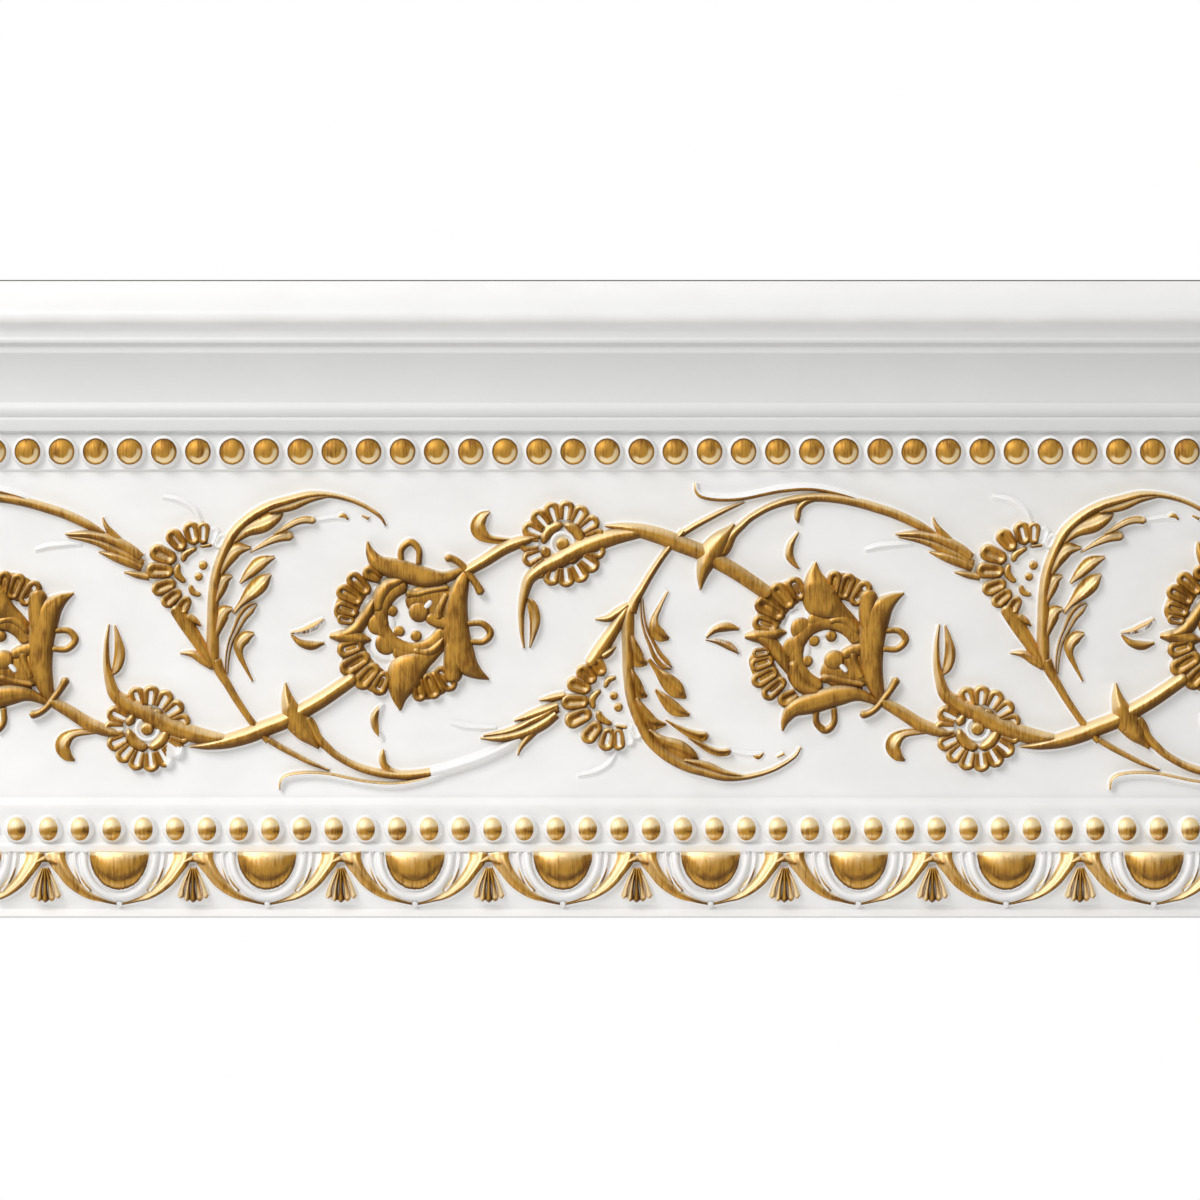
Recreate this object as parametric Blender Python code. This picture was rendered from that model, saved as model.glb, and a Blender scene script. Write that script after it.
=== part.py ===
"""A length of crown moulding, cast in one piece, standing in its working position.

The wall is the plane y = 0 behind it and the ceiling is the level plane on its top. The face leans
out at 45 degrees between them and carries, from the wall up, an egg and dart, a row of beads, a wide
frieze with a running vine in relief, a second row of beads, a cove and a fascia. Sizes are in
millimetres until a point is placed.

The face is drawn flat: u runs along the length, s up the face from the wall edge, and n out of it.
"""

import math

import bmesh
import bpy
from mathutils import Vector

MM = 0.001
SLOPE = math.radians(45)

# The whole moulding
LENGTH = 400.0
FACE = 212.13  # along the slope, so that the moulding measures 150 by 150
EDGE = 22.0  # thickness at the wall edge and at the ceiling edge
SPARE = 6.0  # cast past each end, then sawn off square

# The face, from the wall up
TOE = (0.8, 2.9)  # the upright fillet that meets the wall
OVOLO = (4.3, 22.0)
LOWER_CHANNEL = (24.6, 34.3)
FRIEZE = (39.9, 148.8)
UPPER_CHANNEL = (149.0, 161.6)
REED = (166.4, 171.2)
COVE_TOP = 187.6
FASCIA = 201.5
GROUND = 20.0  # n of the frieze
LOWER_FLOOR = 21.1
UPPER_FLOOR = 21.0
FILLET = 22.0

# Beads
UPPER_BEAD = {"pitch": 11.323, "first": 9.9, "s": 155.0, "across": 5.1, "up": 5.2, "rise": 4.2}
LOWER_BEAD = {"pitch": 10.533, "first": 6.32, "s": 29.2, "across": 4.2, "up": 4.4, "rise": 4.0}

# Egg and dart
EGG_PITCH = 49.1
FIRST_EGG = 40.33
EGG_HALF = 10.4
EGG_DROP = 13.2  # from the fillet down to the lowest point of the egg
EGG_RISE = 3.4

# The vine repeats every half repeat, turned over about the middle of the frieze
HALF_REPEAT = 138.0
FIRST_ROSETTE = 187.57
MIDDLE = 93.67
VINE_REPEATS = (-2, -1, 0, 1)
SUNK = 1.3  # how far the relief is let into the ground
LEVEL = math.radians(4)  # facets that meet at less than this are one facet
KEPT_FACETS = 0.86  # share left once the smallest ones along the joins are merged too


def arc(start, end, bulge, steps):
    """Points after start, up to end, on a circular arc that stands bulge off the chord."""
    chord = Vector(end) - Vector(start)
    out = Vector((-chord.y, chord.x)).normalized()
    half = chord.length / 2
    radius = (half * half + bulge * bulge) / (2 * abs(bulge))
    side = math.copysign(1, bulge)
    middle = Vector(start) + chord / 2 - out * side * (radius - abs(bulge))
    sweep = math.asin(min(1, half / radius))
    points = []
    for step in range(1, steps + 1):
        turn = sweep * (2 * step / steps - 1)
        points.append(middle + chord.normalized() * radius * math.sin(turn) + out * side * radius * math.cos(turn))
    return [(p.x, p.y) for p in points]


def front():
    """The moulded front in (s, n), from the wall edge to the ceiling edge."""
    line = [(0, EDGE), (TOE[0], EDGE + TOE[0])]
    line += [(TOE[1], EDGE + 2 * TOE[0] - TOE[1]), (OVOLO[0], EDGE + 2 * TOE[0] - TOE[1])]
    line += arc(line[-1], (OVOLO[1], 20.9), 2.3, 6)
    line += [(OVOLO[1], FILLET), (LOWER_CHANNEL[0] - 0.3, FILLET), (LOWER_CHANNEL[0] + 0.3, LOWER_FLOOR)]
    line += [(LOWER_CHANNEL[1] - 0.7, LOWER_FLOOR), (LOWER_CHANNEL[1] + 0.3, FILLET)]
    line += [(FRIEZE[0] - 2.1, FILLET), (FRIEZE[0], GROUND), (FRIEZE[1], GROUND)]
    line += [(UPPER_CHANNEL[0], UPPER_FLOOR), (UPPER_CHANNEL[1] - 0.3, UPPER_FLOOR)]
    line += [(UPPER_CHANNEL[1] + 0.3, 22.9), (REED[0] - 0.8, 23.6), (REED[0], 22.6)]
    line += arc(line[-1], (REED[1], 22.8), 1.1, 4)
    line += arc(line[-1], (COVE_TOP, 28.4), -1.2, 7)
    line += [(189.9, 28.4), (190.9, 30.0), (191.9, 30.2), (192.6, 29.5), (194.3, 29.5)]
    line += arc(line[-1], (197.2, 31.8), -0.7, 3)
    line += arc(line[-1], (FASCIA, EDGE + FACE - FASCIA), 0.8, 4)
    line += [(FACE, EDGE)]
    return line


FRONT = front()


def ground_at(s):
    """How far the plain front stands out at a height s up the face."""
    for (s0, n0), (s1, n1) in zip(FRONT, FRONT[1:]):
        if s0 <= s <= s1 and s1 > s0:
            return n0 + (n1 - n0) * (s - s0) / (s1 - s0)
    return EDGE


def place(u, s, n):
    """The point at (u, s, n), in metres, with the middle of the wall contact at the origin."""
    out = (s + n - EDGE) * math.sin(SLOPE)
    up = (s - n + EDGE) * math.cos(SLOPE) - EDGE * math.sin(SLOPE)
    return Vector((u - LENGTH / 2, -out, up)) * MM


def extrude_along(bm, outline, start, end):
    """A straight bar with the outline (s, n), from start to end along the length."""
    rings = [[bm.verts.new(place(u, s, n)) for s, n in outline] for u in (start, end)]
    count = len(outline)
    for i in range(count):
        j = (i + 1) % count
        bm.faces.new((rings[0][i], rings[0][j], rings[1][j], rings[1][i]))
    bm.faces.new(rings[0][::-1])
    bm.faces.new(rings[1])


def smooth_path(points, steps):
    """Points on a smooth curve through the given ones, with steps to each span."""
    ends = [[2 * a - b for a, b in zip(points[0], points[1])]]
    ends += [list(p) for p in points]
    ends += [[2 * a - b for a, b in zip(points[-1], points[-2])]]
    path = []
    for i in range(1, len(ends) - 2):
        for step in range(steps):
            t = step / steps
            path.append([
                b + 0.5 * t * (c - a + t * (2 * a - 5 * b + 4 * c - d + t * (3 * (b - c) + d - a)))
                for a, b, c, d in zip(*ends[i - 1:i + 3])
            ])
    path.append(list(points[-1]))
    return path


def stroke(bm, points, rise, steps=1):
    """A roof-shaped bar of relief. Each point is (u, s, width), and the rise follows the width."""
    path = smooth_path(points, steps)
    widest = max(p[2] for p in path)
    rings = []
    for i, (u, s, width) in enumerate(path):
        before = Vector(path[max(i - 1, 0)][:2])
        after = Vector(path[min(i + 1, len(path) - 1)][:2])
        along = (after - before).normalized()
        crest = rise * (0.35 + 0.65 * max(width, 0.1) / widest)
        half = max(width, 0.5) / 2 * (crest + SUNK) / crest
        across = Vector((-along.y, along.x)) * half
        corners = [(u + across.x, s + across.y, -SUNK), (u, s, crest), (u - across.x, s - across.y, -SUNK)]
        rings.append([bm.verts.new(place(a, b, ground_at(b) + c)) for a, b, c in corners])
    for first, second in zip(rings, rings[1:]):
        for i in range(3):
            j = (i + 1) % 3
            bm.faces.new((first[i], first[j], second[j], second[i]))
    bm.faces.new(rings[0][::-1])
    bm.faces.new(rings[-1])


def dome(bm, u, s, across, up, rise, sides=6):
    """A round boss on the face: a sunk ring, a shoulder and a crown."""
    rings = []
    for size, lift in ((1.0, -SUNK), (0.72, 0.78 * rise)):
        ring = []
        for i in range(sides):
            turn = math.tau * (i + 0.5) / sides
            a = u + size * across * math.cos(turn)
            b = s + size * up * math.sin(turn)
            ring.append(bm.verts.new(place(a, b, ground_at(s) + lift)))
        rings.append(ring)
    crown = bm.verts.new(place(u, s, ground_at(s) + rise))
    for i in range(sides):
        j = (i + 1) % sides
        bm.faces.new((rings[0][i], rings[0][j], rings[1][j], rings[1][i]))
        bm.faces.new((rings[1][i], rings[1][j], crown))
    bm.faces.new(rings[0][::-1])


class Vine:
    """Draws the vine's strokes for one half repeat, in (x, y) from its rosette and the middle of the frieze."""

    def __init__(self, bm, repeat):
        self.bm = bm
        self.start = FIRST_ROSETTE + repeat * HALF_REPEAT
        self.turn = -1 if repeat % 2 else 1

    def spot(self, x, y):
        return self.start + x, MIDDLE + self.turn * y

    def stroke(self, points, rise=3.0, steps=1):
        stroke(self.bm, [(*self.spot(x, y), width) for x, y, width in points], rise, steps)

    def ball(self, x, y, radius, rise=2.2):
        dome(self.bm, *self.spot(x, y), radius, radius, rise)

    def fan(self, centre, angles, inner, outer, width, rise=2.4):
        """Petals that radiate from a centre, each widest near its round end."""
        for degrees in angles:
            along = Vector((math.cos(math.radians(degrees)), math.sin(math.radians(degrees))))
            root, tip = (Vector(centre) + along * r for r in (inner, outer))
            self.stroke([(*root, width * 0.4), (*tip, width)], rise)

    def stems(self):
        """The main stem from its split leaf to the palmette, its sheath and the spear at its node."""
        self.stroke([(-12.9, -4, 0.6), (-14.2, 8.7, 2.2), (-11.4, 19.3, 4), (-3.6, 24.6, 4.6), (5, 28, 4.8),
                     (14, 32.2, 5), (23.4, 35, 5.8), (34, 32.8, 5), (46.4, 28, 5), (66.4, 15.3, 4.4)])
        self.stroke([(-11.6, 13, 0.8), (-9.4, 5, 3), (-11.4, -3.6, 0.6)], 2.2)
        self.stroke([(45.4, 15.6, 0.6), (47.8, 24, 5), (51.4, 29.5, 6.6), (57.6, 38, 0.8)], 3.6)
        self.stroke([(107, -22, 3.4), (116, -27.6, 4), (125, -32, 4)])

    def tendrils(self):
        """The long tendrils that arch over the palmette, and the branch that passes under the stem."""
        self.stroke([(53, 29, 2), (59.8, 37.9, 2.2), (71, 44.2, 2.4), (87, 46.6, 2.6), (101, 43.8, 2.8),
                     (114.2, 37.8, 3), (128.4, 31.4, 2.4)], 2.4)
        self.stroke([(44.6, 50.4, 1), (45.8, 46.4, 1.5), (56, 45, 1.5), (72, 48.2, 1.7), (88, 48.6, 1.8),
                     (107, 42.6, 1.2)], 2)
        self.stroke([(60, 44.2, 1), (46.2, 38.3, 2), (34.4, 28.7, 2.2), (27.2, 18, 2.4), (21, 9, 3.4)], 2.4)
        self.stroke([(84, 45.4, 1.4), (79.6, 43.2, 2.2), (78, 38.4, 0.8)], 2)
        self.stroke([(78.2, 34.6, 0.7), (75.6, 28, 2.6), (78.4, 22.6, 0.7)], 2)
        self.stroke([(46.8, -0.6, 0.6), (53, 3.4, 2.2), (59.6, 3, 1)], 1.8)
        self.stroke([(46.6, -1.2, 0.6), (53, -0.6, 2), (58.8, -4, 1)], 1.8)

    def palmette(self):
        """The large flower in side view: two sepals, fans of petals, and a scalloped heart."""
        x, y = PALMETTE

        def part(points, rise=2.6):
            self.stroke([(x + a, y + b, width) for a, b, width in points], rise)

        part([(19.4, -20.4, 2), (16, -8, 6), (16.2, 2, 6), (18, 12, 6.4), (25.4, 16.4, 0.6)], 3.4)
        part([(19.4, -20.4, 2), (9, -17, 5), (-2, -18.4, 5.4), (-9, -21.4, 5), (-13.6, -27.8, 0.6)], 3.4)
        part([(14.6, 11, 3.6), (12.6, 16, 4.4), (14, 18.6, 2.4)])
        part([(-10, -21, 3.6), (-15.2, -20.6, 4.4), (-17.4, -19, 2.4)])
        part([(-3.8, 26.4, 0.6), (-4, 18.6, 7), (-1, 12.4, 7.4), (8.6, 8.4, 0.8)])
        part([(-26.2, 2.4, 0.6), (-19.6, 1.4, 5), (-15.4, -3.4, 4.4), (-12, -9, 0.6)])
        part([(-20, 3, 3), (-12.4, 3.8, 1.6)])
        part([(19.6, -1.2, 1.6), (25.6, -0.6, 1.7), (26.2, 3.4, 1.7), (19.8, 4.4, 1.6)], 1.8)
        part([(-1.8, -22.6, 1.6), (-1.2, -28, 1.7), (2.4, -28, 1.7), (2.8, -22.4, 1.6)], 1.8)
        part([(12.6, -24, 2.4), (19, -20.2, 2.2), (24.4, -11.4, 2.4)], 2.2)
        part([(10.8, 3.2, 1.6), (7, 7, 3.6), (1, 8.4, 4), (-2.4, 6.6, 2.6)], 2)
        part([(-6.4, 7.6, 3), (-9.6, 3, 4.4), (-12, -1.6, 3.4), (-10, -8, 3.4), (-3, -16, 1.2)], 2)
        part([(5, -14, 5), (4.4, -8.6, 7.6), (9, -4, 4.4)], 2.4)
        self.fan(PALMETTE, (117.5, 132, 148, 162.4), 13, 25.4, 4.6)
        self.fan(PALMETTE, (188.6, 197.5, 209.5, 222), 15, 26, 4)
        self.fan(PALMETTE, (54, 69, 81), 13, 24.2, 4)

    def rosette(self):
        """The small round flower behind the stem, and the curl beside the next one."""
        self.fan(ROSETTE, range(12, 372, 24), 6.6, 14.2, 4.4)
        self.ball(*ROSETTE, 3, 2)
        self.stroke([(124, -32.6, 1.4), (116.6, -32.4, 2), (111.4, -35, 5.2), (113.4, -41, 0.8)], 2.4)

    def hanging_branch(self):
        """The branch that hangs from the stem: a half flower with its bracts, and a long feathered leaf."""
        self.stroke([(21.4, 10, 2), (12.2, 5.6, 0.6)], 2)
        self.stroke([(19.6, 7, 2), (15.8, -1.7, 3), (10.6, -8.4, 4)], 2.6)
        self.fan(HALF_FLOWER, (119, 140, 160, 182, 204, 231, 256, 280), 8, 17, 4.6)
        self.stroke([(2.2, -18.4, 2), (-7.4, -21, 0.8)], 1.6)
        self.stroke([(-1.4, -23, 2.4), (-8, -24.6, 2.8), (-15, -28, 0.8)], 2.4)
        self.stroke([(-2.4, -27, 2.6), (-12, -31.6, 3), (-26, -35.4, 0.8)], 2.6)
        self.stroke([(21, 9, 3.2), (19.8, -2, 3), (21.2, -14, 2.8), (24.6, -25.6, 2.4), (31.6, -35.6, 2),
                     (42, -43, 2.2), (56, -47, 2.6), (70, -46.6, 1.6), (80.8, -37.4, 0.8)])
        for root, belly, tip, width in LEAF_LOBES:
            self.stroke([(*root, 1.2), (*belly, width), (*tip, 1)], 2.6)
        self.stroke([(23.4, 12, 1.2), (26.4, 2, 2), (31, -8, 2.4), (41.4, -20.4, 2)], 2.2)

    def draw(self):
        self.rosette()
        self.palmette()
        self.hanging_branch()
        self.tendrils()
        self.stems()


PALMETTE = (87.1, -2.3)
ROSETTE = (0.0, 30.7)
HALF_FLOWER = (18.1, -21.3)
# The leaflets of the feathered leaf: root, belly, tip and width, first the inner row, then the outer
LEAF_LOBES = (
    ((20.6, 2), (23.6, -5.4), (28, -10.4), 4.6),
    ((21, -9), (24.6, -15.6), (28.8, -21), 4.8),
    ((23.6, -18.6), (28.4, -24.6), (34.6, -29.8), 5),
    ((29.4, -29), (36.6, -35), (45.8, -41), 5.6),
    ((31.4, 9), (31.2, 1), (34, -1), 3),
    ((29.4, -4), (32.6, -7.6), (36.6, -10.6), 3),
    ((34, -15), (38.4, -20.6), (42, -27), 3.6),
    ((36, -27.4), (43, -31), (49.4, -33.6), 2.6),
    ((46, -36), (51.6, -38.6), (57.4, -40), 2.4),
)


def egg_and_dart(bm, middle):
    """One egg in its shell, the bracket that hangs round it, and half of the dart on its right."""
    top = OVOLO[1] - 0.3
    rings = []
    sides = 6
    for size, lift in ((1.0, -SUNK), (0.86, 0.5 * EGG_RISE), (0.5, EGG_RISE)):
        ring = []
        for i in range(sides + 1):
            turn = math.pi * (1 + i / sides)
            s = top + size * EGG_DROP * math.sin(turn)
            ring.append(bm.verts.new(place(middle + size * EGG_HALF * math.cos(turn), s, ground_at(s) + lift)))
        rings.append(ring)
    for first, second in zip(rings, rings[1:]):
        for i in range(sides):
            bm.faces.new((first[i], first[i + 1], second[i + 1], second[i]))
    bm.faces.new(rings[-1])
    bm.faces.new(rings[0][::-1])
    bm.faces.new([ring[0] for ring in rings] + [ring[-1] for ring in rings[::-1]])
    shell = []
    bracket = []
    for i in range(7):
        turn = math.pi * (1 + i / 6)
        shell.append((middle + 13.4 * math.cos(turn), top + 15.4 * math.sin(turn), 2.4))
    stroke(bm, shell, 1.5)
    for side in (-1, 1):
        bracket = [(24.5, 20.6, 2), (19.4, 20.4, 3), (14.6, 11, 3), (0.8, 4.9, 0.8)]
        stroke(bm, [(middle + side * a, s, width) for a, s, width in bracket], 2)
    dart = middle + EGG_PITCH / 2
    for lean in (-1, 0, 1):
        stroke(bm, [(dart, 16.4, 0.8), (dart + lean * 4, 5.8, 2.2)], 1.6)


def row(first, pitch):
    """The places of a repeated ornament along the length, one pitch past each end left out."""
    count = math.ceil(LENGTH / pitch) + 1
    return [first + i * pitch for i in range(-1, count) if -SPARE < first + i * pitch < LENGTH + SPARE]


def new_object(name, bm, faceted=False):
    if faceted:
        bmesh.ops.triangulate(bm, faces=bm.faces)
    bmesh.ops.recalc_face_normals(bm, faces=bm.faces)
    mesh = bpy.data.meshes.new(name)
    bm.to_mesh(mesh)
    bm.free()
    made = bpy.data.objects.new(name, mesh)
    bpy.context.collection.objects.link(made)
    return made


def helper(made):
    made.hide_render = True
    made.display_type = "WIRE"
    return made


def boolean(target, other, operation, overlapping=False):
    modifier = target.modifiers.new(other.name, "BOOLEAN")
    modifier.object = other
    modifier.operation = operation
    modifier.solver = "EXACT"
    modifier.use_self = overlapping


def gilt_white():
    paint = bpy.data.materials.new("white_paint")
    paint.use_nodes = True
    shader = paint.node_tree.nodes["Principled BSDF"]
    shader.inputs["Base Color"].default_value = (0.87, 0.87, 0.86, 1)
    shader.inputs["Roughness"].default_value = 0.42
    shader.inputs["Metallic"].default_value = 0.0
    return paint


def build():
    for old in list(bpy.data.objects):
        bpy.data.objects.remove(old)
    body = bmesh.new()
    back = [(FACE - EDGE, 0.0), (EDGE, 0.0)]
    extrude_along(body, FRONT + back, -SPARE, LENGTH + SPARE)
    moulding = new_object("crown_moulding", body)
    moulding.data.materials.append(gilt_white())

    relief = bmesh.new()
    for repeat in VINE_REPEATS:
        Vine(relief, repeat).draw()
    for bead in (UPPER_BEAD, LOWER_BEAD):
        for u in row(bead["first"], bead["pitch"]):
            dome(relief, u, bead["s"], bead["across"], bead["up"], bead["rise"])
    for middle in row(FIRST_EGG, EGG_PITCH) + [FIRST_EGG - EGG_PITCH]:
        egg_and_dart(relief, middle)
    relief = helper(new_object("relief", relief, faceted=True))
    boolean(moulding, relief, "UNION", overlapping=True)

    merge = moulding.modifiers.new("merge_level_facets", "DECIMATE")
    merge.decimate_type = "DISSOLVE"
    merge.angle_limit = LEVEL
    thin = moulding.modifiers.new("merge_slivers", "DECIMATE")
    thin.ratio = KEPT_FACETS

    saw = bmesh.new()
    extrude_along(saw, [(-40, -40), (260, -40), (260, 80), (-40, 80)], 0.0, LENGTH)
    boolean(moulding, helper(new_object("saw_cuts", saw)), "INTERSECT")


build()
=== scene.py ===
# %% [markdown]
# # A gilded crown moulding
# This lesson dresses a length of crown moulding: a casting that closes the corner between a wall and
# a ceiling. Its face leans out at 45 degrees. It carries a running vine between two rows of beads,
# with an egg and dart below, and the high parts of the ornament are brushed with gold paint.
# The solid model of the moulding is opened first, because it gives every size and place.

# %% Open the solid model
import math

import bmesh
import bpy
from mathutils import Matrix, Vector


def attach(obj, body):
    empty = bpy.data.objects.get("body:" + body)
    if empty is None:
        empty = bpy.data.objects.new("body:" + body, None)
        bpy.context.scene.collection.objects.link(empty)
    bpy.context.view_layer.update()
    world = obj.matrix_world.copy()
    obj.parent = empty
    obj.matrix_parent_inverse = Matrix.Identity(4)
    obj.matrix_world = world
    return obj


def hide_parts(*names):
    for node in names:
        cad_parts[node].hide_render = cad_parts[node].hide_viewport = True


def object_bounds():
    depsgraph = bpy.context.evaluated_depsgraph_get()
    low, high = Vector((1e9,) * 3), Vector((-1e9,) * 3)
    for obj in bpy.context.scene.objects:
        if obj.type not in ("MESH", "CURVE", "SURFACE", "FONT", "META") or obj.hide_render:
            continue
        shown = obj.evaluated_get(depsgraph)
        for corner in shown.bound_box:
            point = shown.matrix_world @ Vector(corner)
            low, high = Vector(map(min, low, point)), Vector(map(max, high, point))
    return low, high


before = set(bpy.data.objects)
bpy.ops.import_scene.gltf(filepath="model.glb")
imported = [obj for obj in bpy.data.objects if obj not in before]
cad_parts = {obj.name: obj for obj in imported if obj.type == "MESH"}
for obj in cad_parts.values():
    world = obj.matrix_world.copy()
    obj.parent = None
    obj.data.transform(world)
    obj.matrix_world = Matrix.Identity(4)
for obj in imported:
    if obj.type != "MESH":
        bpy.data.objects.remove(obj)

cad_low, cad_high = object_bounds()
MM = 0.001
LENGTH = (cad_high.x - cad_low.x) / MM
print("solid model, mm:", [round(v / MM, 1) for v in cad_high - cad_low])

# %% [markdown]
# ## A bench to work on
# A leaning face is awkward to model on. So each piece is made lying on a level bench: x runs along
# the length, y up the face from the wall edge, and z out of the face. One matrix then lays the
# finished piece on the slope. Lengths are in millimetres until a point is placed.

# %% The bench and the slope
SLOPE = math.radians(45)
EDGE = 22.0  # how far the two edges of the face stand off the back
GROUND = 20.0  # the same for the frieze, on which the vine lies
FACE = (cad_high.z - cad_low.z) / MM / math.sin(SLOPE)  # from the wall edge to the ceiling edge

UP_FACE = Vector((0, -math.sin(SLOPE), math.cos(SLOPE)))
OUT_OF_FACE = Vector((0, -math.cos(SLOPE), -math.sin(SLOPE)))
wall_edge = Vector((cad_low.x, cad_high.y, cad_low.z)) - OUT_OF_FACE * EDGE * MM
TO_SLOPE = Matrix.Translation(wall_edge) @ Matrix((
    (1, UP_FACE.x, OUT_OF_FACE.x), (0, UP_FACE.y, OUT_OF_FACE.y), (0, UP_FACE.z, OUT_OF_FACE.z))).to_4x4()
print("face, mm:", round(FACE, 2), "length, mm:", round(LENGTH, 2))

# %% [markdown]
# Operators act on whatever is selected. This helper selects one piece alone, and is called before
# each job.

# %% Select one piece
def alone(piece):
    if bpy.context.mode != "OBJECT":
        bpy.ops.object.mode_set(mode="OBJECT")
    bpy.ops.object.select_all(action="DESELECT")
    piece.select_set(True)
    bpy.context.view_layer.objects.active = piece
    return piece


def pick_vertices(piece, wanted):
    """Selects the vertices that wanted() accepts, with the piece left in edit mode."""
    alone(piece)
    bpy.ops.object.mode_set(mode="EDIT")
    bpy.ops.mesh.select_mode(type="VERT")
    bpy.ops.mesh.select_all(action="DESELECT")
    bpy.ops.object.mode_set(mode="OBJECT")
    for vertex in piece.data.vertices:
        vertex.select = wanted(vertex.co / MM)
    bpy.ops.object.mode_set(mode="EDIT")


def join(pieces, name):
    alone(pieces[0])
    for piece in pieces:
        piece.select_set(True)
    if len(pieces) > 1:
        bpy.ops.object.join()
    pieces[0].name = name
    pieces[0].data.name = name
    return pieces[0]


# %% [markdown]
# ## The profile
# The front is a stack of fillets, hollows and rounds. A plasterer would run it with a template, and
# here the template's edge is walked point by point. Rounds are arcs, given by how far they stand
# off their chord.

# %% The template
def arc(start, end, bulge, steps):
    chord = Vector(end) - Vector(start)
    out = Vector((-chord.y, chord.x)).normalized()
    half = chord.length / 2
    radius = (half * half + bulge * bulge) / (2 * abs(bulge))
    side = math.copysign(1, bulge)
    middle = Vector(start) + chord / 2 - out * side * (radius - abs(bulge))
    sweep = math.asin(min(1, half / radius))
    turns = [sweep * (2 * step / steps - 1) for step in range(1, steps + 1)]
    along = chord.normalized()
    return [tuple(middle + along * radius * math.sin(t) + out * side * radius * math.cos(t)) for t in turns]


FILLET = 22.0
LOWER_FLOOR = 21.1  # the channel of the lower beads
UPPER_FLOOR = 21.0  # the channel of the upper beads

front = [(0, EDGE), (0.8, 22.8), (2.9, 20.7), (4.3, 20.7)]
front += arc(front[-1], (22.0, 20.9), 2.3, 18)
front += [(22.0, FILLET), (24.3, FILLET), (24.9, LOWER_FLOOR), (33.4, LOWER_FLOOR), (36.2, FILLET)]
front += [(37.8, FILLET), (39.9, GROUND), (148.8, GROUND), (149.0, UPPER_FLOOR), (161.3, UPPER_FLOOR)]
front += [(161.9, 22.9), (165.6, 23.6), (166.4, 22.6)]
front += arc(front[-1], (171.2, 22.8), 1.1, 10)
front += arc(front[-1], (187.6, 28.4), -1.2, 20)
front += [(189.9, 28.4), (190.9, 30.0), (191.9, 30.2), (192.6, 29.5), (194.3, 29.5)]
front += arc(front[-1], (197.2, 31.8), -0.7, 8)
front += arc(front[-1], (201.5, EDGE + FACE - 201.5), 0.8, 10)
front += [(FACE, EDGE)]
print("template points:", len(front))


def ground_at(y):
    """How far the plain front stands out at y up the face."""
    for (y0, z0), (y1, z1) in zip(front, front[1:]):
        if y0 <= y <= y1 and y1 > y0:
            return z0 + (z1 - z0) * (y - y0) / (y1 - y0)
    return front[0][1] if y < front[0][0] else front[-1][1]


# %% [markdown]
# One vertex is extruded along the template, the outline is filled, and the fill is pulled out to
# the length shown. A small bevel on every arris catches the light as paint on a casting does.

# %% Run the body
def run_body():
    bpy.ops.object.select_all(action="DESELECT")
    bpy.ops.mesh.primitive_plane_add(size=MM)
    body = bpy.context.object
    pick_vertices(body, lambda p: True)
    bpy.ops.mesh.merge(type="CENTER")
    outline = front + [(FACE - EDGE, 0.0), (EDGE, 0.0)]
    here = Vector((0, 0, 0))
    for number, (y, z) in enumerate(outline):
        there = Vector((0, y, z)) * MM
        if number == 0:
            bpy.ops.transform.translate(value=there)
        else:
            bpy.ops.mesh.extrude_vertices_move(TRANSFORM_OT_translate={"value": there - here})
        here = there
    bpy.ops.mesh.select_all(action="SELECT")
    bpy.ops.mesh.edge_face_add()
    bpy.ops.mesh.extrude_region_move(TRANSFORM_OT_translate={"value": (LENGTH * MM, 0, 0)})
    bpy.ops.mesh.select_all(action="SELECT")
    bpy.ops.mesh.normals_make_consistent(inside=False)
    bpy.ops.object.mode_set(mode="OBJECT")
    soften = body.modifiers.new("arris", "BEVEL")
    soften.width = 0.22 * MM
    soften.segments = 3
    soften.limit_method = "ANGLE"
    soften.angle_limit = math.radians(18)
    bpy.ops.object.modifier_apply(modifier=soften.name)
    bpy.ops.object.shade_smooth_by_angle(angle=math.radians(30))
    return body


body = run_body()
print("body faces:", len(body.data.polygons))

# %% [markdown]
# ## Beads
# A bead is most of a ball, let into its channel. A ball is modelled once, its hidden part is cut off, and it
# is copied along the row. Only the top is gilded, so each vertex gets a number, gilt, that says how much
# paint the brush leaves there. A second number is painted light and shade: it says how far the vertex turns
# from the light, so that painted shade in brown lies there and a painted highlight in the palest gold
# opposite. Both are stored on the mesh, so the paint stays where it is when a piece is copied or laid down.

# %% Mark the gilding
def mark_gilt(piece, gilt_of):
    """Writes gilt_of(point in mm) to each vertex, as the attribute that the gold paint reads."""
    gilt = piece.data.attributes.new("gilt", "FLOAT", "POINT")
    for vertex in piece.data.vertices:
        gilt.data[vertex.index].value = gilt_of(vertex.co / MM)
    return piece


PAINTED_LIGHT_SIDE = (-0.55, 0.83, 0.0)  # the side that the painted light and shade are lit from: up the face and from the left


def mark_painted_shading(piece, painted_light_side=PAINTED_LIGHT_SIDE, more=lambda p: 0.0):
    """Writes painted light and shade: how far each vertex turns from the light, and more(point in mm) on top.
    """
    painted_shading = piece.data.attributes.new("painted_shading", "FLOAT", "POINT")
    for vertex in piece.data.vertices:
        painted_shading.data[vertex.index].value = more(vertex.co / MM) - vertex.normal.dot(Vector(painted_light_side))
    return piece


def ramp(value, low, high):
    """0 up to low, 1 from high on, and even between."""
    return min(1.0, max(0.0, (value - low) / (high - low)))


def drape(piece):
    """Moves each point out of the bench by the height of the profile under it."""
    for vertex in piece.data.vertices:
        vertex.co.z += ground_at(vertex.co.y / MM) * MM
    return piece


# %% [markdown]
# What repeats is modelled once. Every copy gets its own mesh, which is moved or mirrored, and the
# copies are joined into one piece. A mirror turns faces inside out, so those are turned back.

# %% Set out copies
def row_places(first, pitch, reach):
    """Places along the row whose ornament shows on this length."""
    count = int(LENGTH / pitch) + 3
    places = [first + (number - 1) * pitch for number in range(count)]
    return [place for place in places if -reach < place < LENGTH + reach]


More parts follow.
